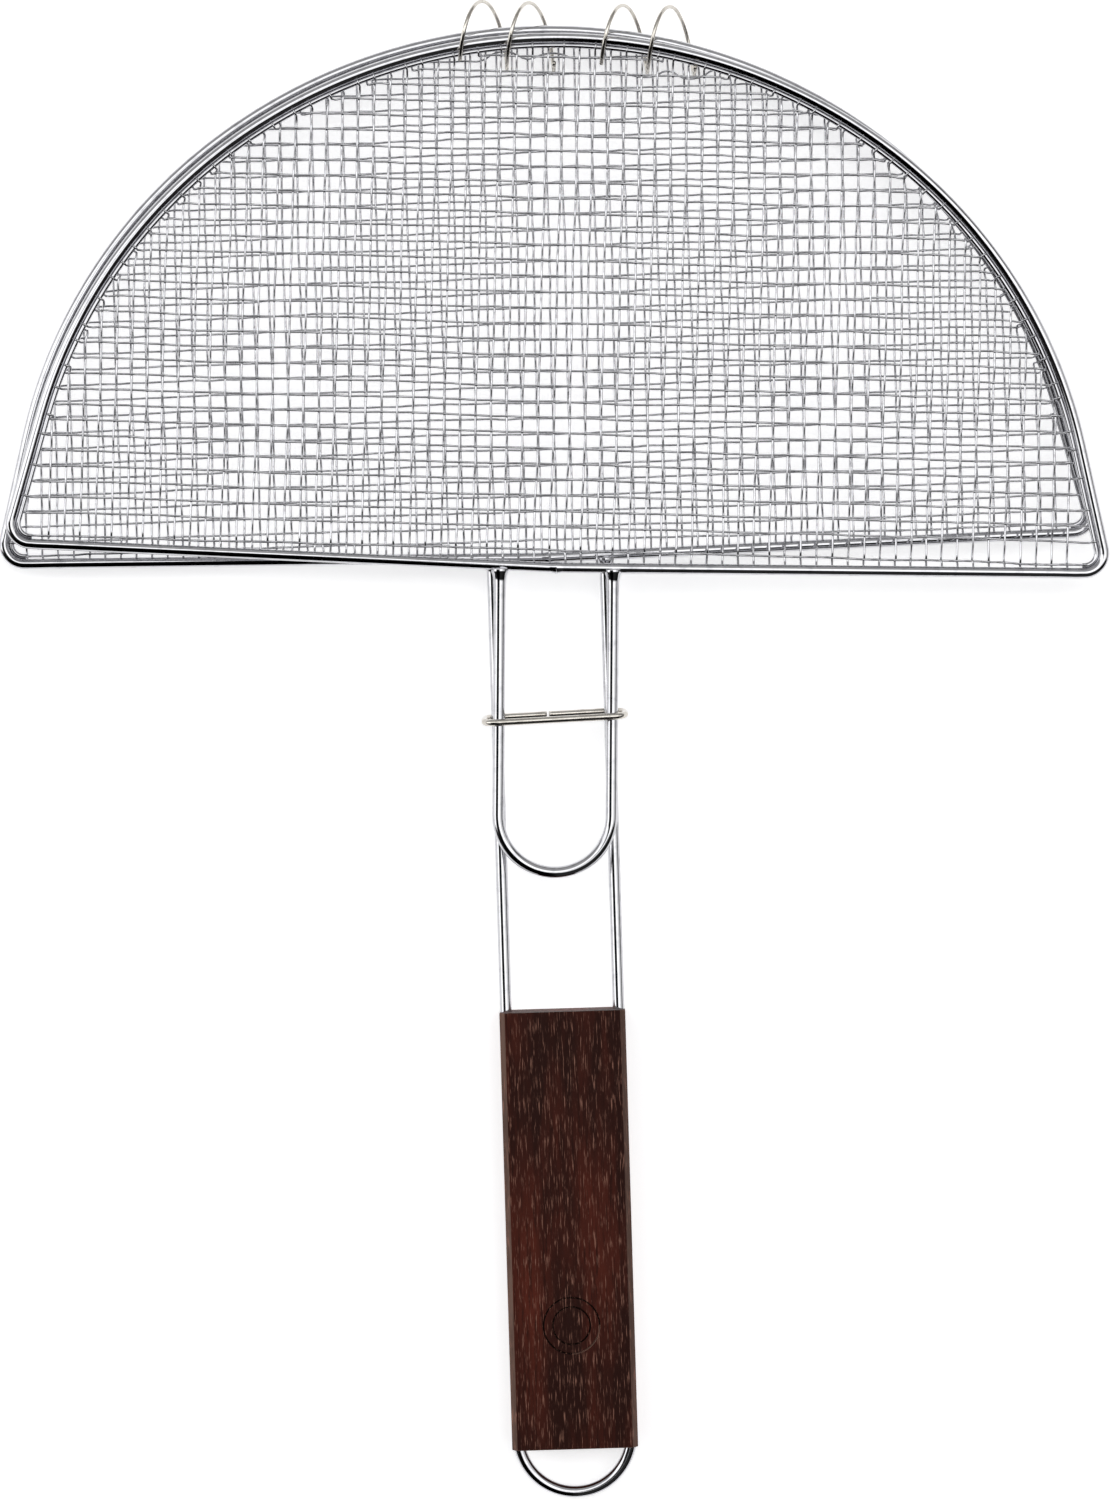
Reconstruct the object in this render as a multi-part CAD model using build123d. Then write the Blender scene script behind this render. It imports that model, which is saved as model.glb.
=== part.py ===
"""Half-moon grill basket: two wire-mesh leaves on a pair of loose coil hinges, held shut by a sliding ring.

The origin is the centre of the grip's flat underside. The basket lies flat: +Y runs from the grip to the
hinge and +Z is up. The base leaf is square to the axes, and the lid leaf lies a few degrees askew on it.
"""

import os
from math import asin, atan, ceil, cos, degrees, floor, radians, sin, sqrt, tan

from build123d import *

# wires, by diameter
rim_wire = 3.2
binding_wire = 1.5
mesh_wire = 0.7
handle_wire = 3.6
coil_wire = 1.2
clip_wire = 2.1

# half-moon outline of each rim, measured on the wire's centre line
rim_width = 331.4  # across the two corners, before they are rounded
rim_depth = 156.0  # from the corners to the crown of the arc
shoulder_radius = 153.0
crown_half_angle = 35.0  # the crown's arc reaches this far each side of the middle
flank_lean = 14.1  # the straight flanks lean in by this much
corner_radius = 6.0
bar_dip = 2.9  # the straight bar sags to its butt weld in the middle
mesh_pitch = 4.7

# handles
handle_spacing = 34.0  # between the centres of the two wires
neck_length = 136.5  # from the bar's weld to the grip
short_loop_length = 93.2  # from the bar's weld to the outside of the lid's loop
short_loop_skew = 1.2  # the lid's loop is welded on slightly askew
weld_flare = 0.9  # how far a weld spreads beyond its wire, all round
grip_length = 131.2
grip_side = 1.9  # the grip reaches this far past the centre of each handle wire
grip_thickness = 15.2
grip_chamfer = 1.6
groove_clearance = 0.05
hanger_inset = 2.9  # the hanging loop's centre is this far inside the grip's end

# how the lid leaf lies on the base leaf
leaf_gap = 6.0  # between the two rims' centre planes
lid_turn = -3.3
lid_shift = (1.8, -3.4)  # of the lid's crown centre from the base's

# coil hinges
coil_radius = 9.9
coil_turns = 2
coil_turn_length = 14.1  # one turn's advance, made up to whole cells of the mesh
coil_centre_spacing = 42.3  # also made up to whole cells
coil_start = -27.8  # where the left coil begins along the hinge line
coil_end_angle = 30.0  # each wire starts and ends this far above the middle, on the mesh side
coil_flatness = 0.95  # 1 makes the part of a turn on the mesh side stand square to the hinge line
coil_steps = 12  # bends per turn
hinge_inset = 2.6  # from the base's crown to the hinge line
hinge_offset = 6.0  # along X, of the point where the hinge line's places are counted from
pivot_out = 1.32  # the base turns in the coils this far outward of the hinge line
pivot_down = 2.76  # and this far below it; the lid turns as far inward and above

# sliding clip ring
clip_play = 0.45  # between the ring and the handles, above and below
clip_side_play = 1.8  # what the ring is wider inside than both handles together
clip_corner = 3.6  # bend radius at each end, on the wire's centre line
clip_reach = 44.7  # from the lid's weld to the ring
clip_shift = 0.05  # the ring lies this far to the right of the handles' middle
clip_lean = 8.0
clip_turn = 1.4
clip_butt_gap = 0.5
clip_butt_offset = -2.0

# small allowances
end_clearance = 0.05  # a mesh wire stops this far short of the wire that it is bound to
weld_depth = 0.8  # a handle wire goes this far past the rim wire's surface
bind_depth = 0.05  # the binding wire is welded this deep into the rim
bind_reach = 0.5  # the binding wire ends on the bar, this far past each corner's bend
coil_room = 0.15  # a cross wire that makes way for a coil stays this far from it
first_row_gap = 0.35  # from the bar to the first cross wire
push_flat = 0.5  # a pushed wire runs straight for this many cells each side of the coil
push_reach = 1.4  # and is back in line this many cells away

rim_r, binding_r, mesh_r = rim_wire / 2, binding_wire / 2, mesh_wire / 2
handle_r, coil_r, clip_r = handle_wire / 2, coil_wire / 2, clip_wire / 2
binding_inset = rim_r + binding_r - bind_depth
handle_half = handle_spacing / 2
grip_width = handle_spacing + 2 * grip_side

# heights and places along the base
base_z = grip_thickness / 2
lid_z = base_z + leaf_gap
hinge_z = base_z + leaf_gap / 2
weld_y = grip_length / 2 + neck_length
corner_y = weld_y + bar_dip
crown_y = corner_y + rim_depth

# outline, in a leaf's own frame: X along the bar, Y from the corners to the crown
lean = radians(flank_lean)
crown_half = radians(crown_half_angle)
half_width = rim_width / 2
bar_slope = bar_dip / half_width
bar_angle = atan(bar_slope)
flank_normal = Vector(cos(lean), sin(lean))
bar_normal = Vector(sin(bar_angle), -cos(bar_angle))
shoulder_dir = Vector(sin(crown_half), cos(crown_half))
reach_sine = sin(crown_half + lean)
crown_radius = (half_width * cos(lean) - shoulder_radius * (1 - reach_sine) - rim_depth * sin(lean)) / (
    reach_sine - sin(lean)
)
crown_centre = Vector(0, rim_depth - crown_radius)
shoulder_centre = crown_centre + shoulder_dir * (crown_radius - shoulder_radius)
corner = Vector(half_width, 0)
corner_centre = corner - (bar_normal + flank_normal) * (corner_radius / (1 + bar_normal.dot(flank_normal)))

# the two leaves' places: each leaf turns about its crown centre
base_place = Location((0, corner_y, base_z))
lid_centre = Vector(lid_shift[0], crown_y - crown_radius + lid_shift[1])
lid_leaf_place = Location((lid_centre.X, lid_centre.Y, lid_z)) * Rotation(0, 0, lid_turn)
lid_place = lid_leaf_place * Pos(0, -crown_centre.Y, 0)

# the lid's loop hangs from the middle of the lid's bar, and the ring fits round it and the long handle
loop_place = lid_place * Pos(0, -bar_dip, 0) * Rotation(0, 0, short_loop_skew)
loop_aside = (loop_place * Pos(0, -clip_reach, 0)).position.X
clip_inner_width = handle_spacing + handle_wire + abs(loop_aside) + clip_side_play
clip_x = loop_aside / 2 + clip_shift
clip_y = loop_place.position.Y - clip_reach

# hinge line, parallel to the lid's bar: X runs along it, Y outward and Z up
coil_pitch = max(1, round(coil_turn_length / mesh_pitch)) * mesh_pitch
coil_spacing = max(1, round(coil_centre_spacing / mesh_pitch)) * mesh_pitch
hinge_place = Location((hinge_offset, crown_y - hinge_inset, hinge_z)) * Rotation(0, 0, lid_turn)
coil_starts = {"coil_left": coil_start, "coil_right": coil_start + coil_spacing}


def tube(path, radius):
    """A round wire along a path."""
    return sweep(Plane(origin=path @ 0, z_dir=path % 0) * Circle(radius), path=path)


def joined(lines):
    """One path from lines and arcs that meet end to end."""
    return Wire([edge for line in lines for edge in line.edges()])


def outline(inset, bar_reach):
    """The half-moon from the bar, round both corners and back to it, moved in by inset. bar_reach is how
    far the wire runs along the bar past each corner's bend."""
    r_corner, r_shoulder, r_crown = (r - inset for r in (corner_radius, shoulder_radius, crown_radius))
    bend_start = corner_centre + bar_normal * r_corner
    bar_dir = Vector(-bar_normal.Y, bar_normal.X)
    side = [
        Line(bend_start - bar_dir * bar_reach, bend_start),
        CenterArc(corner_centre, r_corner, degrees(bar_angle) - 90, 90 + flank_lean - degrees(bar_angle)),
        Line(corner_centre + flank_normal * r_corner, shoulder_centre + flank_normal * r_shoulder),
        CenterArc(shoulder_centre, r_shoulder, flank_lean, 90 - crown_half_angle - flank_lean),
    ]
    crown = CenterArc(crown_centre, r_crown, 90 - crown_half_angle, 2 * crown_half_angle)
    return joined(side + [crown] + [mirror(line, about=Plane.YZ) for line in reversed(side)])


def rim():
    """The rim wire with its butt weld, which stands a little proud."""
    to_weld = (corner_centre + bar_normal * corner_radius).X / cos(bar_angle) - end_clearance
    wire = tube(outline(0, to_weld), rim_r)
    return wire + Pos(0, -bar_dip, 0) * Sphere(rim_r + weld_flare / 3)


def binding():
    """The thin wire inside the arc and flanks, which the mesh is bound to."""
    return tube(outline(binding_inset, bind_reach), binding_r)


def top_y(x, inset):
    """Height of the arc or flank above the corners' line at x, moved in by inset."""
    x = abs(x)
    if x <= (crown_radius - inset) * sin(crown_half):
        return crown_centre.Y + sqrt((crown_radius - inset) ** 2 - x**2)
    if x <= shoulder_centre.X + (shoulder_radius - inset) * cos(lean):
        return shoulder_centre.Y + sqrt((shoulder_radius - inset) ** 2 - (x - shoulder_centre.X) ** 2)
    return (half_width - inset / cos(lean) - x) / tan(lean)


def half_span(y, inset):
    """Half of the leaf's width at y, moved in by inset."""
    if y >= crown_centre.Y + (crown_radius - inset) * cos(crown_half):
        return sqrt((crown_radius - inset) ** 2 - (y - crown_centre.Y) ** 2)
    if y >= shoulder_centre.Y + (shoulder_radius - inset) * sin(lean):
        return shoulder_centre.X + sqrt((shoulder_radius - inset) ** 2 - (y - shoulder_centre.Y) ** 2)
    if y < corner_centre.Y:
        return corner_centre.X - bind_reach - end_clearance
    return half_width - inset / cos(lean) - y * tan(lean)


def bar_y(x):
    """Height of the bar's centre line at x."""
    return -bar_dip + bar_slope * abs(x)


def hinge_point(x, angle):
    """A point of a coil's centre line, in the hinge line's frame, for a wire that starts at x."""
    forward = coil_pitch / 360 * (angle - degrees(coil_flatness * sin(radians(angle))))
    return Vector(x + forward, -coil_radius * cos(radians(angle)), coil_radius * sin(radians(angle)))


def coil(x):
    """A two-turn hinge coil, bent in short steps, in the hinge line's frame."""
    step = 360 / coil_steps
    reach = 1 / cos(radians(step / 2))
    angles = [coil_end_angle + step * (i + 0.5) for i in range(coil_steps * coil_turns)]
    corners = [hinge_point(x, a) for a in angles]
    corners = [Vector(p.X, p.Y * reach, p.Z * reach) for p in corners]
    ends = [hinge_point(x, coil_end_angle), hinge_point(x, coil_end_angle + 360 * coil_turns)]
    route = [ends[0]] + corners + [ends[1]]
    radii = []
    for before, at, after in zip(route, route[1:], route[2:]):
        arriving, leaving = at - before, after - at
        half_turn = radians(arriving.get_angle(leaving)) / 2
        radii.append(0.45 * min(arriving.length, leaving.length) / tan(half_turn))
    return tube(FilletPolyline(*route, radius=radii), coil_r)


def passes(plane_z, pivot_side):
    """Where each coil's wire goes through a leaf's mesh: for each pass, its place at rest and its place
    with the lid right open, in the hinge line's frame. pivot_side is -1 for the base and 1 for the lid."""
    pivot_y, pivot_z = -pivot_side * pivot_out, pivot_side * pivot_down
    # with the lid open the coil's centre has turned a quarter of a turn about the leaf's pivot
    open_y, open_z = pivot_y + pivot_side * pivot_z, pivot_z - pivot_side * pivot_y
    found = []
    first = 1 if pivot_side < 0 else 0
    for start in coil_starts.values():
        for turn in range(first, coil_turns + 1):
            places = []
            for centre_y, centre_z, turned in ((0, 0, 0), (open_y, open_z, pivot_side * 90)):
                up = degrees(asin((plane_z - centre_z) / coil_radius))
                at = hinge_point(start, 360 * turn + up + turned)
                places.append(Vector(at.X, centre_y - coil_radius * cos(radians(up))))
            found.append(places)
    return found


def in_leaf(point, place):
    """A point of the hinge line's frame, in a leaf's own frame."""
    return (place.inverse() * hinge_place * Pos(point.X, point.Y, 0)).position


def long_wires(cell_x, z):
    """The mesh wires that run from the bar to the arc. One cell is centred on cell_x."""
    widest = corner_centre.X - bind_reach - mesh_r - end_clearance
    first = ceil((-widest - cell_x) / mesh_pitch - 0.5)
    last = floor((widest - cell_x) / mesh_pitch - 0.5)
    wires = []
    for i in range(first, last + 1):
        x = cell_x + (i + 0.5) * mesh_pitch
        low = bar_y(x) + rim_r + end_clearance
        high = min(top_y(x + dx, binding_inset + binding_r + end_clearance) for dx in (-mesh_r, mesh_r))
        if high - low > mesh_pitch:
            wires.append(Pos(x, (low + high) / 2, z) * Rotation(90, 0, 0) * Cylinder(mesh_r, high - low))
    return wires


def sidestep(start, end):
    """Two arcs that bend a wire running along X from one line to another."""
    middle = (start + end) / 2
    return [TangentArc(start, middle, tangent=(1, 0, 0)), TangentArc(end, middle, tangent=(-1, 0, 0))]


def row_half(y):
    """Half the length of a cross wire at y."""
    return min(half_span(y + dy, binding_inset + binding_r + end_clearance) for dy in (-mesh_r, mesh_r))


def cross_wire(y, coil_passes, z):
    """One cross wire. Where a coil passes it is pushed aside, and so is its end if that is nearby."""
    room = coil_r + mesh_r + coil_room
    turns = []
    for closed, opened in coil_passes:
        x = (closed.X + opened.X) / 2
        low, high = min(closed.Y, opened.Y) - room, max(closed.Y, opened.Y) + room
        if low < y < high:
            aside = low if y - low < high - y else high
            steps = ((-push_reach, y), (-push_flat, aside), (push_flat, aside), (push_reach, y))
            turns += [Vector(x + along * mesh_pitch, to, z) for along, to in steps]
    turns = [turn for turn in turns if abs(turn.X) < row_half(turn.Y) - mesh_wire]
    if not turns:
        return Pos(0, y, z) * Rotation(0, 90, 0) * Cylinder(mesh_r, 2 * row_half(y))
    first, last = turns[0].Y, turns[-1].Y
    route = [Vector(-row_half(first), first, z), *turns, Vector(row_half(last), last, z)]
    lines = []
    for start, end in zip(route, route[1:]):
        lines += [Line(start, end)] if start.Y == end.Y else sidestep(start, end)
    return tube(joined(lines), mesh_r)


def cross_wires(coil_passes, z):
    """The mesh wires that run from flank to flank, the last one close to the bar. The others are spaced
    from the middle of the places where the coils pass."""
    edge = rim_r + first_row_gap + mesh_r
    heights = [(p.Y + q.Y) / 2 for p, q in coil_passes]
    middle = (min(heights) + max(heights)) / 2 + mesh_pitch / 2
    top = rim_depth - binding_inset - binding_r - mesh_pitch / 2
    down, up = floor((middle - edge - mesh_wire) / mesh_pitch), floor((top - middle) / mesh_pitch)
    rows = [edge] + [middle + i * mesh_pitch for i in range(-down, up + 1)]
    return [cross_wire(y, coil_passes, z) for y in rows]


def leaf_mesh(place, plane_z, pivot_side):
    """Both sets of mesh wires of a leaf, in the basket's frame. They lie one on the other."""
    coil_passes = [[in_leaf(p, place) for p in pair] for pair in passes(plane_z, pivot_side)]
    cell_x = (coil_passes[0][0].X + coil_passes[0][1].X) / 2
    lift = -pivot_side * (mesh_r + end_clearance / 2)
    long_set, cross_set = long_wires(cell_x, lift), cross_wires(coil_passes, -lift)
    return [[place * wire for wire in wires] for wires in (long_set, cross_set)]


def loop(reach):
    """A handle's two straight wires and the half circle that joins them, down from y = 0, as a path.
    The half circle's centre is at -reach."""
    side = handle_half
    bar_level = bar_y(side) - bar_y(0) - rim_r + weld_depth
    return joined(
        [
            Line((side, bar_level), (side, -reach)),
            CenterArc((0, -reach), side, 0, -180),
            Line((-side, -reach), (-side, bar_level)),
        ]
    )


def loop_welds():
    """The spread of weld metal where a handle's wires meet the bar."""
    level = bar_y(handle_half) - bar_y(0) - rim_r
    spread = Rotation(90, 0, 0) * Cone(handle_r + weld_flare, handle_r, handle_wire)
    return [Pos(x, level - handle_r + weld_depth, 0) * spread for x in (-handle_half, handle_half)]


def handle():
    """The long handle and its hanging loop, one wire, welded under the base's bar."""
    wire = tube(loop(neck_length + grip_length - hanger_inset), handle_r)
    return Pos(0, weld_y, base_z) * (wire + loop_welds())


def short_loop():
    """The lid's short handle loop."""
    wire = tube(loop(short_loop_length - handle_half - handle_r), handle_r)
    return loop_place * (wire + loop_welds())


def grip():
    """The wooden grip, grooved along its sides and round its end for the handle's wire."""
    block = Pos(0, 0, grip_thickness / 2) * Box(grip_width, grip_length, grip_thickness)
    block = chamfer(block.edges().filter_by(Axis.Y), grip_chamfer)
    groove_r = handle_r + groove_clearance
    path = loop(neck_length + grip_length - hanger_inset)
    block -= Pos(0, weld_y, base_z) * tube(path, groove_r)
    for side in (-1, 1):
        centre = side * (handle_half + grip_side / 2)
        block -= Pos(centre, 0, base_z) * Box(grip_side, grip_length, 2 * groove_r)
    return block


def clip_ring():
    """The racetrack ring that slides along both handles, bent from one wire whose ends nearly meet."""
    half_height = (leaf_gap + handle_wire + clip_wire) / 2 + clip_play
    half_long = (clip_inner_width + clip_wire) / 2
    path = FilletPolyline(
        (clip_butt_offset + clip_butt_gap / 2, -half_height),
        (half_long, -half_height),
        (half_long, half_height),
        (-half_long, half_height),
        (-half_long, -half_height),
        (clip_butt_offset - clip_butt_gap / 2, -half_height),
        radius=clip_corner,
    )
    place = Pos(clip_x, clip_y, hinge_z) * Rotation(0, 0, clip_turn) * Rotation(90 + clip_lean, 0, 0)
    return place * tube(path, clip_r)


base_long, base_cross = leaf_mesh(base_place, -leaf_gap / 2, -1)
lid_long, lid_cross = leaf_mesh(lid_place, leaf_gap / 2, 1)

nodes = {
    "base_rim": [base_place * rim()],
    "base_binding_wire": [base_place * binding()],
    "base_mesh_long_wires": base_long,
    "base_mesh_cross_wires": base_cross,
    "handle_wire": [handle()],
    "grip": [grip()],
    "lid_rim": [lid_place * rim()],
    "lid_binding_wire": [lid_place * binding()],
    "lid_mesh_long_wires": lid_long,
    "lid_mesh_cross_wires": lid_cross,
    "short_loop": [short_loop()],
    "clip_ring": [clip_ring()],
}
for name, start in coil_starts.items():
    nodes[name] = [hinge_place * coil(start)]

os.makedirs("parts", exist_ok=True)
for name, pieces in nodes.items():
    solids = [solid for piece in pieces for solid in piece.solids()]
    export_step(Compound(children=solids) if len(solids) > 1 else solids[0], f"parts/{name}.step")
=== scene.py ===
from math import atan, cos, degrees, pi, radians, sin

import bmesh
import bpy
from mathutils import Matrix, Vector, noise


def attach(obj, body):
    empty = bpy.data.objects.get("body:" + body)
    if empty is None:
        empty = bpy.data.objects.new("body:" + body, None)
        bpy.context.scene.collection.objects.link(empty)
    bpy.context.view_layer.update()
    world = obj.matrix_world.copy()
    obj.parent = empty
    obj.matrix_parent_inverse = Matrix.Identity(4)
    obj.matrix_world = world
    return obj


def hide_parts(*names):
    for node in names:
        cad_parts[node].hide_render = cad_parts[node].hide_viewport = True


# a grill basket: smooth drawn wire, woven mesh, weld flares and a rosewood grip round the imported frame
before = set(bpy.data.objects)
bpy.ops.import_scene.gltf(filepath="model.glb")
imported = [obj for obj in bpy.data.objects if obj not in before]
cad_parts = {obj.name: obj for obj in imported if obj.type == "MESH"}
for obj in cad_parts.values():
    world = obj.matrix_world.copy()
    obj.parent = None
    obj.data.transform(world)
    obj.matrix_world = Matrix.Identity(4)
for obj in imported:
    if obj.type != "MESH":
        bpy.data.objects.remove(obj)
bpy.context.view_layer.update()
mm = 0.001
mergeDistance = 1e-6


def mixedColor(nodes, links, factor, first, second):
    mix = nodes.new("ShaderNodeMix")
    mix.data_type = "RGBA"
    mix.inputs["A"].default_value = (*first, 1)
    mix.inputs["B"].default_value = (*second, 1)
    links.new(factor, mix.inputs["Factor"])
    return mix.outputs["Result"]


def paintedOver(nodes, links, factor, under, color):
    mix = nodes.new("ShaderNodeMix")
    mix.data_type = "RGBA"
    mix.inputs["B"].default_value = (*color, 1)
    links.new(factor, mix.inputs["Factor"])
    links.new(under, mix.inputs["A"])
    return mix.outputs["Result"]


def stretchedNoise(nodes, links, scale, detail=4, roughness=0.55):
    # noise on the piece's own coordinates, stretched by a different scale along each axis
    coords = nodes.new("ShaderNodeTexCoord")
    mapping = nodes.new("ShaderNodeMapping")
    mapping.inputs["Scale"].default_value = scale
    texture = nodes.new("ShaderNodeTexNoise")
    texture.inputs["Scale"].default_value = 1
    texture.inputs["Detail"].default_value = detail
    texture.inputs["Roughness"].default_value = roughness
    links.new(coords.outputs["Object"], mapping.inputs["Vector"])
    links.new(mapping.outputs["Vector"], texture.inputs["Vector"])
    return texture.outputs["Fac"]


def ranged(nodes, links, value, fromLow, fromHigh, toLow, toHigh):
    span = nodes.new("ShaderNodeMapRange")
    span.inputs["From Min"].default_value = fromLow
    span.inputs["From Max"].default_value = fromHigh
    span.inputs["To Min"].default_value = toLow
    span.inputs["To Max"].default_value = toHigh
    links.new(value, span.inputs["Value"])
    return span.outputs["Result"]


def bumped(nodes, links, shader, height, strength, depth):
    bump = nodes.new("ShaderNodeBump")
    bump.inputs["Strength"].default_value = strength
    bump.inputs["Distance"].default_value = depth
    links.new(height, bump.inputs["Height"])
    links.new(bump.outputs["Normal"], shader.inputs["Normal"])


def meshObject(name, mesh):
    piece = bpy.data.objects.new(name, mesh)
    bpy.context.scene.collection.objects.link(piece)
    return piece


def bmeshObject(name, shape):
    mesh = bpy.data.meshes.new(name)
    shape.to_mesh(mesh)
    shape.free()
    return meshObject(name, mesh)


def evaluatedMesh(thing):
    bpy.context.view_layer.update()
    return bpy.data.meshes.new_from_object(thing.evaluated_get(bpy.context.evaluated_depsgraph_get()))


def wireRun(name, runs, radius, roundness, steps=3):
    # runs: lists of (point, thickness factor), in metres; each becomes one round wire
    data = bpy.data.curves.new(name, "CURVE")
    data.dimensions = "3D"
    data.bevel_depth = radius
    data.bevel_resolution = roundness
    data.resolution_u = steps
    data.use_fill_caps = True
    for run in runs:
        spline = data.splines.new("BEZIER")
        spline.bezier_points.add(len(run) - 1)
        for knot, (point, factor) in zip(spline.bezier_points, run):
            knot.co = point
            knot.radius = factor
            knot.handle_left_type = knot.handle_right_type = "AUTO"
    curve = meshObject(name + "Curve", data)
    mesh = evaluatedMesh(curve)
    bpy.data.objects.remove(curve)
    mesh.name = name
    mesh.materials.clear()
    cleaner = bmesh.new()
    cleaner.from_mesh(mesh)
    bmesh.ops.remove_doubles(cleaner, verts=cleaner.verts, dist=mergeDistance)
    bmesh.ops.recalc_face_normals(cleaner, faces=cleaner.faces)
    cleaner.to_mesh(mesh)
    cleaner.free()
    mesh.shade_smooth()
    return meshObject(name, mesh)


def placed(run, place):
    # a run in millimetres with its thickness, put where the leaf or handle is, in metres
    return [((place @ Vector(point)) * mm, factor) for point, factor in run]


def arc(centre, radius, start, end, step=4):
    # points along an arc in the XY plane, angles in degrees
    count = max(2, round(abs(end - start) / step))
    angles = [radians(start + (end - start) * i / count) for i in range(count + 1)]
    return [(centre[0] + radius * cos(a), centre[1] + radius * sin(a), 0) for a in angles]


def finishPiece(piece, material, body, slot, *nodes):
    piece.data.materials.append(material)
    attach(piece, body)
    if nodes:
        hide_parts(*nodes)


chrome = dict(color=(0.57, 0.57, 0.59), dull=(0.43, 0.43, 0.45), roughness=(0.035, 0.10), bump=0.02)
meshChrome = dict(color=(0.58, 0.58, 0.60), dull=(0.33, 0.33, 0.35), roughness=(0.10, 0.28), bump=0.10)
springSteel = dict(color=(0.62, 0.59, 0.54), dull=(0.40, 0.37, 0.33), roughness=(0.12, 0.26), bump=0.05)
# every metal is dull in blotches and rough in streaks; a span is the part of the noise that counts
metalGrain = dict(blotches=(260, 260, 260), streaks=(1900, 1900, 1900), streakDetail=6,
                  dullSpan=(0.50, 0.75), roughSpan=(0.35, 0.7), bumpDepth=0.0003)


def metal(name, values):
    material = bpy.data.materials.new(name)
    material.use_nodes = True
    nodes, links = material.node_tree.nodes, material.node_tree.links
    shader = nodes["Principled BSDF"]
    shader.inputs["Metallic"].default_value = 1
    blotches = stretchedNoise(nodes, links, metalGrain["blotches"])
    streaks = stretchedNoise(nodes, links, metalGrain["streaks"], detail=metalGrain["streakDetail"])
    dullness = ranged(nodes, links, blotches, *metalGrain["dullSpan"], 0, 1)
    color = mixedColor(nodes, links, dullness, values["color"], values["dull"])
    roughness = ranged(nodes, links, blotches, *metalGrain["roughSpan"], *values["roughness"])
    links.new(color, shader.inputs["Base Color"])
    links.new(roughness, shader.inputs["Roughness"])
    bumped(nodes, links, shader, streaks, values["bump"], metalGrain["bumpDepth"])
    return material


chromeMaterial = metal("platedWire", chrome)
meshMaterial = metal("platedMeshWire", meshChrome)
steelMaterial = metal("springWire", springSteel)

rosewood = dict(dark=(0.024, 0.0050, 0.0028), red=(0.105, 0.0185, 0.0095), pore=(0.33, 0.16, 0.115),
                grain=(80, 12, 80), grainDetail=5, grainSpan=(0.38, 0.66),
                streak=(1100, 60, 1100), streakRoughness=0.7, streakSpan=(0.50, 0.64), streakStrength=0.85,
                pores=(2900, 170, 2900), poreDetail=3, poreRoughness=0.6, poreSpan=(0.57, 0.67),
                poreStrength=0.8, shine=0.10, roughSpan=(0.3, 0.7), roughness=(0.42, 0.62),
                bump=0.35, bumpDepth=0.0002)
# the chamfers along the long edges are paler wood; the same paler wood is a painted highlight on the
# engraved lines' lit wall, and a very dark wood is painted shade on their other walls
paleEdgeAndPaintedHighlight = dict(dark=(0.10, 0.055, 0.042), red=(0.21, 0.125, 0.095))
groovePaintedShade = dict(dark=(0.006, 0.002, 0.0015), red=(0.010, 0.003, 0.002))


def wood(name, values):
    material = bpy.data.materials.new(name)
    material.use_nodes = True
    nodes, links = material.node_tree.nodes, material.node_tree.links
    shader = nodes["Principled BSDF"]
    shader.inputs["Specular IOR Level"].default_value = values["shine"]
    grain = stretchedNoise(nodes, links, values["grain"], detail=values["grainDetail"])
    streak = stretchedNoise(nodes, links, values["streak"], roughness=values["streakRoughness"])
    pores = stretchedNoise(nodes, links, values["pores"], values["poreDetail"], values["poreRoughness"])
    redness = ranged(nodes, links, grain, *values["grainSpan"], 0, 1)
    streaked = ranged(nodes, links, streak, *values["streakSpan"], 0, values["streakStrength"])
    flecked = ranged(nodes, links, pores, *values["poreSpan"], 0, values["poreStrength"])
    color = mixedColor(nodes, links, redness, values["dark"], values["red"])
    color = paintedOver(nodes, links, streaked, color, values["dark"])
    color = paintedOver(nodes, links, flecked, color, values["pore"])
    roughness = ranged(nodes, links, streak, *values["roughSpan"], *values["roughness"])
    links.new(color, shader.inputs["Base Color"])
    links.new(roughness, shader.inputs["Roughness"])
    bumped(nodes, links, shader, pores, values["bump"], values["bumpDepth"])
    return material


woodMaterial = wood("oiledRosewood", rosewood)
# paler wood for the chamfers, also a painted highlight on the engraved line's lit wall
paleEdgeAndPaintedHighlightMaterial = wood("paleEdgeAndPaintedHighlightRosewood", {**rosewood, **paleEdgeAndPaintedHighlight})
# very dark wood as painted shade on the engraved lines' walls that face away from the light
groovePaintedShadeMaterial = wood("groovePaintedShadeRosewood", {**rosewood, **groovePaintedShade})
print("materials made")


# where the leaves lie and their outline, in millimetres; angles in degrees
leaf = dict(width=331.4, depth=156.0, shoulder=153.0, crownHalf=35.0, lean=14.1, corner=6.0, barDip=2.9,
            rimWire=3.2, bindingWire=1.5, meshWire=0.7, pitch=4.7, gap=6.0,
            cornerY=205.0, baseZ=7.6, lidTurn=-3.3, lidShift=(1.8, -3.4),
            bindDepth=0.05, bindReach=0.5, endClearance=0.05, weldSwell=(1.2, 1.12),
            barKnots=(0, 0.8, 1.6, 3, 20, 60, 110, 150), flankKnots=(0.04, 0.3, 0.7, 0.96),
            cornerStep=12, arcStep=3)
lean, crownHalf = radians(leaf["lean"]), radians(leaf["crownHalf"])
halfWidth, rimR = leaf["width"] / 2, leaf["rimWire"] / 2
bindingR, meshR = leaf["bindingWire"] / 2, leaf["meshWire"] / 2
barSlope = leaf["barDip"] / halfWidth
reach = sin(crownHalf + lean)
crownR = (halfWidth * cos(lean) - leaf["shoulder"] * (1 - reach) - leaf["depth"] * sin(lean)) / (
    reach - sin(lean))
crownY = leaf["depth"] - crownR
shoulderAway = crownR - leaf["shoulder"]
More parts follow.
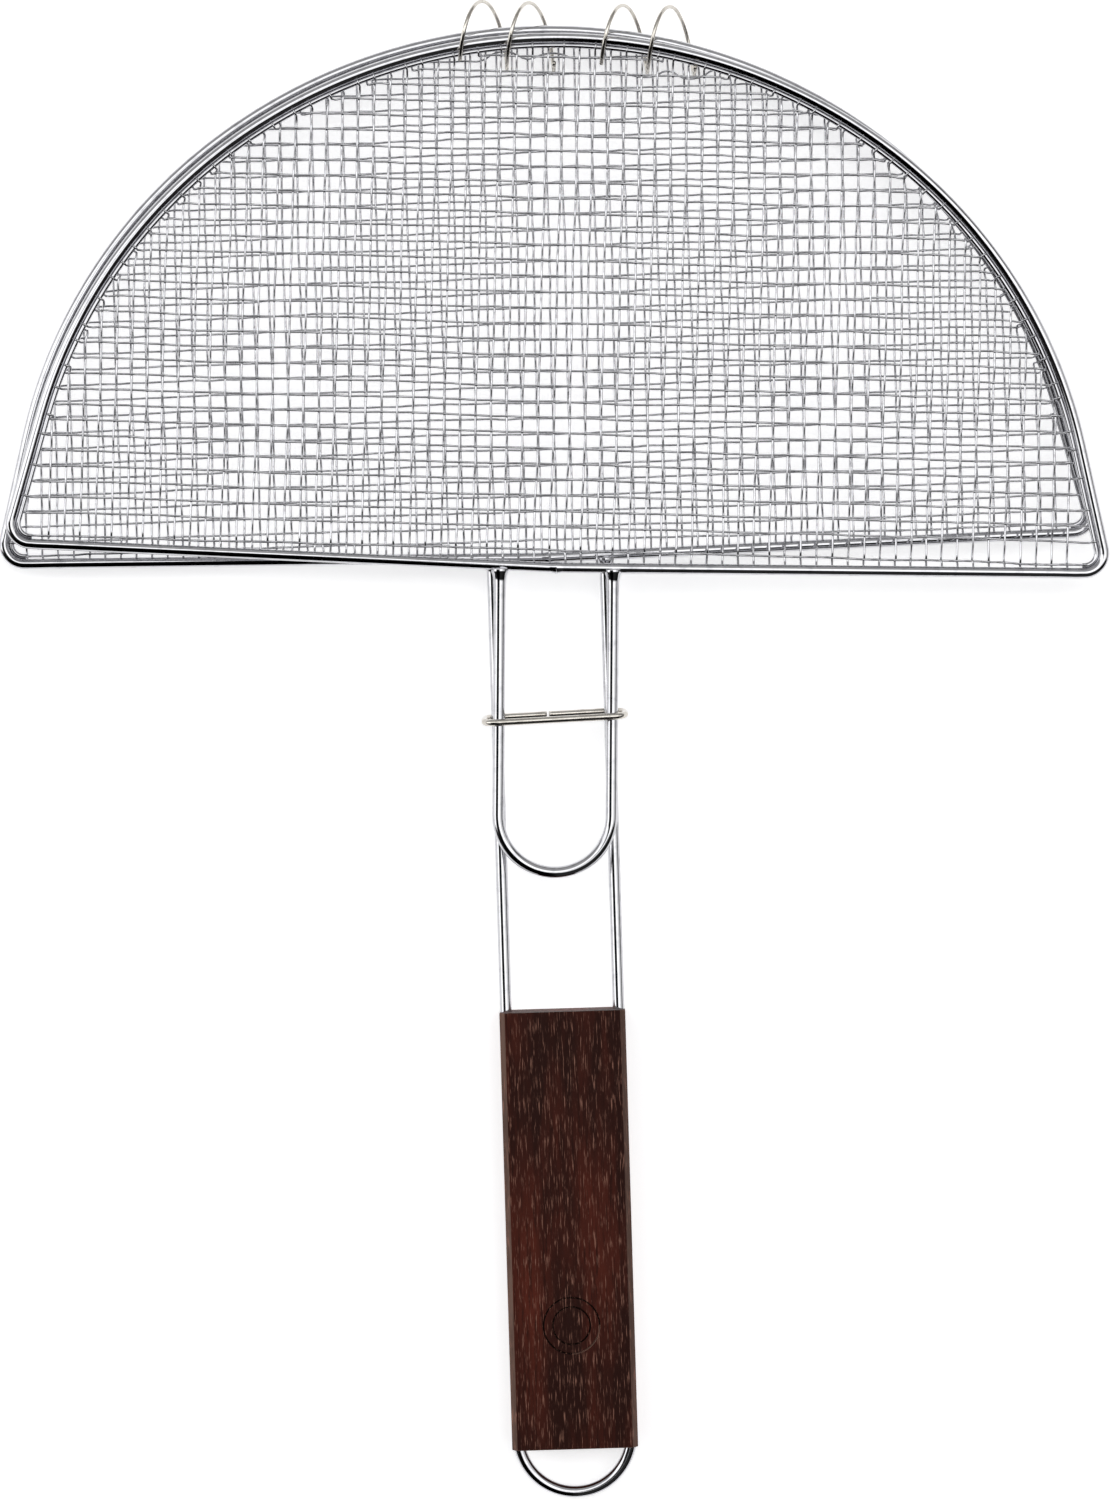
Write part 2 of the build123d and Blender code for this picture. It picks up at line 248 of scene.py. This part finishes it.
shoulderCentre = (sin(crownHalf) * shoulderAway, crownY + cos(crownHalf) * shoulderAway)
barAngle = atan(barSlope)
flankNormal, barNormal = Vector((cos(lean), sin(lean))), Vector((sin(barAngle), -cos(barAngle)))
cornerCentre = Vector((halfWidth, 0)) - (barNormal + flankNormal) * (
    leaf["corner"] / (1 + barNormal.dot(flankNormal)))

lidCentre = Vector((leaf["lidShift"][0], leaf["cornerY"] + leaf["depth"] - crownR + leaf["lidShift"][1]))
basePlace = Matrix.Translation((0, leaf["cornerY"], leaf["baseZ"]))
lidPlace = (Matrix.Translation((*lidCentre, leaf["baseZ"] + leaf["gap"])) @ Matrix.Rotation(
    radians(leaf["lidTurn"]), 4, "Z") @ Matrix.Translation((0, -crownY, 0)))


def barY(x):
    return -leaf["barDip"] + barSlope * abs(x)


def halfOutline(inset, start):
    # the right half, from a point on the bar round the corner and up to the crown
    crownStart = 90 - leaf["crownHalf"]
    cornerStart = degrees(barAngle) - 90
    corner = arc(cornerCentre, leaf["corner"] - inset, cornerStart, leaf["lean"], leaf["cornerStep"])
    shoulder = arc(shoulderCentre, leaf["shoulder"] - inset, leaf["lean"], crownStart, leaf["arcStep"])
    crown = arc((0, crownY), crownR - inset, crownStart, 90, leaf["arcStep"])
    low, high = Vector(corner[-1]), Vector(shoulder[0])
    flank = [tuple(low.lerp(high, share)) for share in leaf["flankKnots"]]
    return [start] + corner + flank + shoulder + crown[1:]


def mirrored(points):
    return points + [(-x, y, z) for x, y, z in reversed(points[:-1])]


def rimPiece(name, place, body, node):
    # the wire's two ends meet in the middle of the bar in a butt weld that stands a little proud
    bar = [(x, barY(x), 0) for x in leaf["barKnots"]]
    points = mirrored(bar[:-1] + halfOutline(0, bar[-1]))
    factors = [1] * len(points)
    for i, swell in enumerate(leaf["weldSwell"]):
        factors[i] = factors[-1 - i] = swell
    piece = wireRun(name, [placed(zip(points, factors), place)], rimR * mm, roundness=6)
    finishPiece(piece, chromeMaterial, body, "chrome_wire", node)


def bindingPiece(name, place, body, node):
    inset = rimR + bindingR - leaf["bindDepth"]
    bend = cornerCentre + barNormal * (leaf["corner"] - inset)
    start = (bend.x - leaf["bindReach"], bend.y - leaf["bindReach"] * barSlope, 0)
    run = [(point, 1) for point in mirrored(halfOutline(inset, start))]
    piece = wireRun(name, [placed(run, place)], bindingR * mm, roundness=4)
    finishPiece(piece, chromeMaterial, body, "chrome_wire", node)


rimPiece("baseRim", basePlace, "base", "base_rim")
rimPiece("lidRim", lidPlace, "lid", "lid_rim")
print("rims made")


# wrap and lap hold (along, up) for each bend of a wire's end: round the binding wire and over the bar
weave = dict(height=0.36, wander=0.48, coarse=0.035, fine=0.21, fineShare=0.45, settled=(128, 140),
             noiseSeed=17, seedBase=3.1, seedLid=17.7, fineSeed=5, sameWire=0.3, sideRoom=0.4, lowRoom=0.2,
             highRoom=0.3, lookBelow=2.6, lookReach=4.0, knotRoom=0.4, nearBar=3,
             wrap=((-0.5, 0.3), (0.1, 0.92), (0.8, 1.12), (1.4, 0.98)),
             lap=((1.15, 1.24), (1.75, 1.02), (2.5, 0.6)))
overWire = Vector((0, 0, weave["height"]))
noise.seed_set(weave["noiseSeed"])  # otherwise the clock seeds it, and every run weaves another mesh


def wireLines(node, place, across):
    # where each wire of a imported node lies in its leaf: its line, its two ends, all in millimetres
    toLeaf = place.inverted()
    points = [toLeaf @ (v.co / mm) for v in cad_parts[node].data.vertices]
    points.sort(key=lambda point: point[across])
    groups = [[points[0]]]
    for point in points[1:]:
        if point[across] - groups[-1][-1][across] > weave["sameWire"]:
            groups.append([])
        groups[-1].append(point)
    lines = []
    for group in groups:
        ends = [point[1 - across] for point in group]
        middle = [point[across] for point in group]
        lines.append(((min(middle) + max(middle)) / 2, min(ends), max(ends)))
    return lines


def levelOf(node, place):
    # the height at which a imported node's wires lie in their leaf
    spots = [v.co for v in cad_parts[node].data.vertices]
    return (place.inverted() @ (sum(spots, Vector()) / len(spots) / mm)).z


def rowAt(node, place, x, low, z):
    # where a cross wire lies at x, found by looking along the leaf from the bar's side of it
    start = place @ Vector((x, low, z)) * mm
    aim = place.to_3x3() @ Vector((0, 1, 0))
    hit, spot, _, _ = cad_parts[node].ray_cast(start, aim, distance=weave["lookReach"] * mm)
    return (place.inverted() @ (spot / mm)).y + meshR if hit else None


def wander(x, y, seed):
    # hand-woven wires drift a little from their places, least where the coils pass
    lowest, highest = weave["settled"]
    calm = max(0, min(1, (highest - y) / (highest - lowest)))
    coarse = Vector((x * weave["coarse"], y * weave["coarse"], seed))
    fine = Vector((x * weave["fine"], y * weave["fine"], seed + weave["fineSeed"]))
    shift = noise.noise_vector(coarse) + weave["fineShare"] * noise.noise_vector(fine)
    return shift * weave["wander"] * calm


def outward(node, place, point):
    # from a wire's end straight to the binding wire
    _, spot, _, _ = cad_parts[node].closest_point_on_mesh(place @ point * mm)
    away = (place.inverted() @ (spot / mm)) - point
    away.z = 0
    return away.normalized()


def wrapped(end, out, side):
    # the end goes over the binding wire and down behind it
    return [(end + out * along + Vector((0, 0, side * up)), 1) for along, up in weave["wrap"]]


def crossingsOf(columns, rows, crossNode, place, seed):
    # where each column meets each row, both a little off their places
    level = levelOf(crossNode, place)
    points = {}
    for j, (rowY, left, right) in enumerate(rows):
        for i, (x, low, high) in enumerate(columns):
            beside = left + weave["sideRoom"] < x < right - weave["sideRoom"]
            if beside and low + weave["lowRoom"] < rowY < high - weave["highRoom"]:
                y = rowAt(crossNode, place, x, rowY - weave["lookBelow"], level) or rowY
                shift = wander(x, y, seed)
                points[i, j] = Vector((x + shift.x, y + shift.y, 0))
    return points


def longRun(column, met, bindingNode, place):
    # from its lap over the bar, or from the binding wire, over and under the rows to the binding wire
    x, low, high = column
    run = [(point + overWire * side, 1) for point, side in met]
    if low < weave["nearBar"]:
        barCentre = low - rimR - leaf["endClearance"]
        lap = [(Vector((x, barCentre + along, up)), 1) for along, up in weave["lap"]]
        run = [knot for knot in lap if not run or knot[0].y < run[0][0].y - weave["knotRoom"]] + run
    else:
        start = Vector((x, low, 0))
        run = wrapped(start, outward(bindingNode, place, start), 1)[::-1] + run
    end = Vector((x, high, 0))
    tail = wrapped(end, outward(bindingNode, place, end), -met[-1][1] if met else 1)
    run += [knot for knot in tail if knot[0].y > run[-1][0].y + weave["knotRoom"]]
    return placed(run, place)


def crossRun(row, met, bindingNode, place):
    # from one flank's binding wire over and under the columns to the other's
    run = [(point + overWire * side, 1) for point, side in met]
    for edge, sign in ((row[1], -1), (row[2], 1)):
        last, side = met[-1] if sign > 0 else met[0]
        end = Vector((edge, last.y, 0))
        tail = wrapped(end, outward(bindingNode, place, end), -side)
        tail = [knot for knot in tail if (knot[0].x - last.x) * sign > weave["knotRoom"]]
        run = run + tail if sign > 0 else tail[::-1] + run
    return placed(run, place)


def wovenLeaf(leafName, place, body, seed):
    longNode, crossNode = leafName + "_mesh_long_wires", leafName + "_mesh_cross_wires"
    bindingNode = leafName + "_binding_wire"
    columns, rows = wireLines(longNode, place, 0), wireLines(crossNode, place, 1)
    points = crossingsOf(columns, rows, crossNode, place, seed)
    longRuns, crossRuns = [], []
    for i, column in enumerate(columns):
        met = [(points[i, j], 1 if (i + j) % 2 else -1) for j in range(len(rows)) if (i, j) in points]
        longRuns.append(longRun(column, met, bindingNode, place))
    for j, row in enumerate(rows):
        met = [(points[i, j], -1 if (i + j) % 2 else 1) for i in range(len(columns)) if (i, j) in points]
        crossRuns.append(crossRun(row, met, bindingNode, place))
    for part, runs, node in (("LongWires", longRuns, longNode), ("CrossWires", crossRuns, crossNode)):
        piece = wireRun(leafName + part, runs, meshR * mm, roundness=1)
        finishPiece(piece, meshMaterial, body, "chrome_wire", node)
        print(leafName + part, len(runs), "wires", len(piece.data.polygons), "faces")


wovenLeaf("base", basePlace, "base", weave["seedBase"])
wovenLeaf("lid", lidPlace, "lid", weave["seedLid"])
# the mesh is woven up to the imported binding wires, so they are replaced after it
bindingPiece("baseBinding", basePlace, "base", "base_binding_wire")
bindingPiece("lidBinding", lidPlace, "lid", "lid_binding_wire")
print("mesh woven")


# flare holds (down the leg, times the wire's thickness) for the welded ends
handle = dict(wire=3.6, spacing=34.0, neck=136.5, gripLength=131.2, hangerInset=2.9, loopLength=93.2,
              loopSkew=1.2, weldDepth=0.8, bendStep=7.5, straightKnots=(0.3, 0.6, 0.9, 0.985),
              flare=((0, 1.45), (0.9, 1.44), (1.9, 1.22), (3.2, 1.06), (5.0, 1), (9, 1)))
handleR, handleHalf = handle["wire"] / 2, handle["spacing"] / 2
barLevel = barY(handleHalf) - barY(0) - rimR + handle["weldDepth"]
handlePlace = Matrix.Translation((0, handle["gripLength"] / 2 + handle["neck"], leaf["baseZ"]))
shortPlace = (lidPlace @ Matrix.Translation((0, -leaf["barDip"], 0))
              @ Matrix.Rotation(radians(handle["loopSkew"]), 4, "Z"))


def handlePiece(name, length, place, body, node):
    # both legs and the half circle between them; the welded ends spread like a flame
    right = [((handleHalf, barLevel - down, 0), factor) for down, factor in handle["flare"]]
    top = right[-1][0][1]
    right += [((handleHalf, top - (length + top) * share, 0), 1) for share in handle["straightKnots"]]
    right += [(point, 1) for point in arc((0, -length), handleHalf, 0, -90, handle["bendStep"])]
    left = [((-x, y, z), factor) for (x, y, z), factor in reversed(right[:-1])]
    piece = wireRun(name, [placed(right + left, place)], handleR * mm, roundness=8)
    finishPiece(piece, chromeMaterial, body, "chrome_wire", node)


handlePiece("handleWire", handle["neck"] + handle["gripLength"] - handle["hangerInset"], handlePlace,
            "base", "handle_wire")
handlePiece("shortLoop", handle["loopLength"] - handleHalf - handleR, shortPlace, "lid", "short_loop")
print("handles made")


hinge = dict(radius=9.9, wire=1.2, cells=3, turns=2, start=-27.8, spacingCells=9, endAngle=30, flatness=0.95,
             inset=2.6, offset=6.0, steps=24)
hingeY, hingeZ = leaf["cornerY"] + leaf["depth"] - hinge["inset"], leaf["baseZ"] + leaf["gap"] / 2
hingePlace = (Matrix.Translation((hinge["offset"], hingeY, hingeZ))
              @ Matrix.Rotation(radians(leaf["lidTurn"]), 4, "Z"))


def coilPiece(name, start, node):
    pitch = hinge["cells"] * leaf["pitch"]
    run = []
    for i in range(hinge["turns"] * hinge["steps"] + 1):
        angle = hinge["endAngle"] + 360 * i / hinge["steps"]
        turned = radians(angle)
        forward = pitch / 360 * (angle - degrees(hinge["flatness"] * sin(turned)))
        run.append(((start + forward, -hinge["radius"] * cos(turned), hinge["radius"] * sin(turned)), 1))
    piece = wireRun(name, [placed(run, hingePlace)], hinge["wire"] / 2 * mm, roundness=4)
    finishPiece(piece, steelMaterial, "coils", "steel_wire", node)


coilPiece("coilLeft", hinge["start"], "coil_left")
coilPiece("coilRight", hinge["start"] + hinge["spacingCells"] * leaf["pitch"], "coil_right")


clip = dict(wire=2.1, innerWidth=40.0, corner=3.6, reach=44.7, shift=0.35, lean=8.0, turn=1.4, play=0.45,
            buttGap=0.5, buttOffset=-2.0, endKnot=5, bendKnot=2, bendStep=15)


def clipPiece():
    # a flat oval ring whose two ends nearly meet below the long handle
    halfHigh = (leaf["gap"] + handle["wire"] + clip["wire"]) / 2 + clip["play"]
    halfLong = (clip["innerWidth"] + clip["wire"]) / 2
    bend, step = clip["corner"], clip["bendStep"]
    x, y = halfLong - bend, halfHigh - bend
    knotX = x - clip["bendKnot"]
    first, last = [clip["buttOffset"] + sign * clip["buttGap"] / 2 for sign in (1, -1)]
    points = [(first, -halfHigh, 0), (first + clip["endKnot"], -halfHigh, 0), (knotX, -halfHigh, 0)]
    points += arc((x, -y), bend, -90, 0, step) + arc((x, y), bend, 0, 90, step)
    points += [(knotX, halfHigh, 0), (0, halfHigh, 0), (-knotX, halfHigh, 0)]
    points += arc((-x, y), bend, 90, 180, step) + arc((-x, -y), bend, 180, 270, step)
    points += [(-knotX, -halfHigh, 0), (last - clip["endKnot"], -halfHigh, 0), (last, -halfHigh, 0)]
    centreY = (lidPlace @ Vector((0, -leaf["barDip"], 0))).y - clip["reach"]
    place = (Matrix.Translation((clip["shift"], centreY, leaf["baseZ"] + leaf["gap"] / 2))
             @ Matrix.Rotation(radians(clip["turn"]), 4, "Z")
             @ Matrix.Rotation(radians(90 + clip["lean"]), 4, "X"))
    run = [(point, 1) for point in points]
    piece = wireRun("clipRing", [placed(run, place)], clip["wire"] / 2 * mm, roundness=6, steps=4)
    finishPiece(piece, steelMaterial, "clip", "steel_wire", "clip_ring")


clipPiece()
print("coils and clip made")


# a face is slanted when its normal leans past slantLow, and engraved when it leans but isn't upright
grip = dict(width=37.8, thickness=15.2, chamfer=1.6, groove=1.85, grooveSteps=8, edge=0.25, edgeSegments=2,
            sharpAngle=30, markY=-28.5, markRadius=8.4, innerMark=5.6, markLine=0.5, markDepth=0.3,
            markSteps=72, slantLow=0.3, slantHigh=0.9)


def gripOutline():
    # the grip's cross section: chamfered, with a half-round groove in each side for the handle wire
    halfWide, high, side = grip["width"] / 2, grip["thickness"], grip["chamfer"]
    grooveZ, r = high / 2, grip["groove"]
    right = [(halfWide - side, 0), (halfWide, side), (halfWide, grooveZ - r)]
    for i in range(grip["grooveSteps"] + 1):
        angle = radians(-90 - 180 * i / grip["grooveSteps"])
        right.append((handleHalf + r * cos(angle), grooveZ + r * sin(angle)))
    right += [(halfWide, grooveZ + r), (halfWide, high - side), (halfWide - side, high)]
    return right + [(-x, z) for x, z in reversed(right)]


def gripBlank():
    length = handle["gripLength"] * mm
    shape = bmesh.new()
    face = shape.faces.new([shape.verts.new((x * mm, -length / 2, z * mm)) for x, z in gripOutline()])
    grown = bmesh.ops.extrude_face_region(shape, geom=[face])
    moved = [v for v in grown["geom"] if isinstance(v, bmesh.types.BMVert)]
    bmesh.ops.translate(shape, verts=moved, vec=(0, length, 0))
    bmesh.ops.recalc_face_normals(shape, faces=shape.faces)
    sharp = [e for e in shape.edges if e.calc_face_angle(0) > radians(grip["sharpAngle"])]
    bmesh.ops.bevel(shape, geom=sharp, offset=grip["edge"] * mm, segments=grip["edgeSegments"], profile=0.5,
                    affect="EDGES", material=-1, clamp_overlap=True)
    return bmeshObject("gripBlank", shape)


def markCutter(radius):
    # a ring with a V section, which cuts one engraved circle
    line, depth = grip["markLine"], grip["markDepth"]
    section = [(radius - line, depth), (radius + line, depth), (radius, -depth)]
    ring = bmesh.new()
    corners = [ring.verts.new((x * mm, 0, z * mm)) for x, z in section]
    edges = [ring.edges.new((corners[i], corners[(i + 1) % 3])) for i in range(3)]
    bmesh.ops.spin(ring, geom=corners + edges, axis=(0, 0, 1), cent=(0, 0, 0), angle=2 * pi,
                   steps=grip["markSteps"], use_merge=True)
    bmesh.ops.translate(ring, verts=ring.verts, vec=(0, grip["markY"] * mm, grip["thickness"] * mm))
    bmesh.ops.recalc_face_normals(ring, faces=ring.faces)
    return bmeshObject("markCutter", ring)


def gripPiece():
    blank = gripBlank()
    cutters = [markCutter(radius) for radius in (grip["markRadius"], grip["innerMark"])]
    for cutter in cutters:
        cut = blank.modifiers.new("mark", "BOOLEAN")
        cut.operation = "DIFFERENCE"
        cut.solver = "EXACT"
        cut.object = cutter
    finished = evaluatedMesh(blank)
    for spare in [blank] + cutters:
        bpy.data.objects.remove(spare)
    piece = meshObject("woodGrip", finished)
    finishPiece(piece, woodMaterial, "base", "grip_wood", "grip")
    finished.materials.append(paleEdgeAndPaintedHighlightMaterial)
    finished.materials.append(groovePaintedShadeMaterial)
    low, high = grip["slantLow"], grip["slantHigh"]
    chamferX, markX = grip["width"] / 2 * mm - grip["chamfer"] * mm, grip["width"] / 4 * mm
    for face in finished.polygons:
        slanted = abs(face.normal.x) > low and abs(face.normal.z) > low
        engraved = abs(face.center.x) < markX and low < face.normal.z < high
        # painted highlight on the outer circle's wall where it faces the light; every other engraved face
        # gets painted shade
        towardLight = face.center.x - face.center.y + grip["markY"] * mm > grip["markRadius"] * mm
        # the chamfer faces along the long edges get the paler wood
        if slanted and abs(face.center.x) > chamferX:
            face.material_index = 1
        elif engraved:
            face.material_index = 1 if towardLight else 2


gripPiece()
print("grip made")


floorLook = dict(size=6.0, color=(0.90, 0.90, 0.91), glow=0.58, roughness=0.9, shine=0.1)


def makeFloor():
    shape = bmesh.new()
    bmesh.ops.create_grid(shape, x_segments=1, y_segments=1, size=floorLook["size"])
    floor = bmeshObject("floor", shape)
    material = bpy.data.materials.new("paleFloor")
    material.use_nodes = True
    shader = material.node_tree.nodes["Principled BSDF"]
    shader.inputs["Base Color"].default_value = (*floorLook["color"], 1)
    shader.inputs["Roughness"].default_value = floorLook["roughness"]
    shader.inputs["Specular IOR Level"].default_value = floorLook["shine"]
    shader.inputs["Emission Color"].default_value = (1, 1, 1, 1)
    shader.inputs["Emission Strength"].default_value = floorLook["glow"]
    floor.data.materials.append(material)


# each row: the axis, where along it the light changes, and the light's level before and after
studio = dict(strength=2.0,
              shades=(("Y", (-0.22, -0.10), (0.015, 1)),  # dark front
                      ("Y", (0.42, 0.52), (1, 0.24)),  # grey back
                      ("X", (0.50, 0.65), (1, 0.5)),  # grey right side
                      ("X", (0.86, 0.93), (1, 0.25)),  # darker far right
                      ("Z", (0.10, 0.30), (0.4, 1))),  # dim horizon
              gap=(("X", (-0.76, -0.70), (1, 0.01)),  # the three sides of a dark gap, left of overhead
                   ("X", (-0.05, 0.01), (0.01, 1)),
                   ("Y", (0.10, 0.16), (0.01, 1))))


def makeLight():
    # white softboxes all round, with the shades and the gap that chrome needs to look like chrome
    world = bpy.data.worlds.new("studio")
    bpy.context.scene.world = world
    world.use_nodes = True
    nodes, links = world.node_tree.nodes, world.node_tree.links
    coords = nodes.new("ShaderNodeTexCoord")
    split = nodes.new("ShaderNodeSeparateXYZ")
    links.new(coords.outputs["Generated"], split.inputs["Vector"])
    level = None
    for operation, rows in (("MAXIMUM", studio["gap"]), ("MULTIPLY", studio["shades"])):
        for axis, span, levels in rows:
            shade = ranged(nodes, links, split.outputs[axis], *span, *levels)
            if level is None:
                level = shade
                continue
            joined = nodes.new("ShaderNodeMath")
            joined.operation = operation
            links.new(level, joined.inputs[0])
            links.new(shade, joined.inputs[1])
            level = joined.outputs[0]
    background = nodes["Background"]
    background.inputs["Strength"].default_value = studio["strength"]
    links.new(level, background.inputs["Color"])


view = dict(middle=(0.9, 144.0), level=10.6, distance=1100.0, tall=451.2, turn=1.7, sensor=36)


def makeCamera():
    data = bpy.data.cameras.new("camera")
    data.sensor_width = view["sensor"]
    data.lens = data.sensor_width * view["distance"] / view["tall"]
    camera = bpy.data.objects.new("camera", data)
    bpy.context.scene.collection.objects.link(camera)
    camera.location = Vector((*view["middle"], view["level"] + view["distance"])) * mm
    camera.rotation_euler = (0, 0, -radians(view["turn"]))
    bpy.context.scene.camera = camera


makeFloor()
makeLight()
makeCamera()
bpy.context.scene.view_settings.view_transform = "Standard"
print("stage ready")
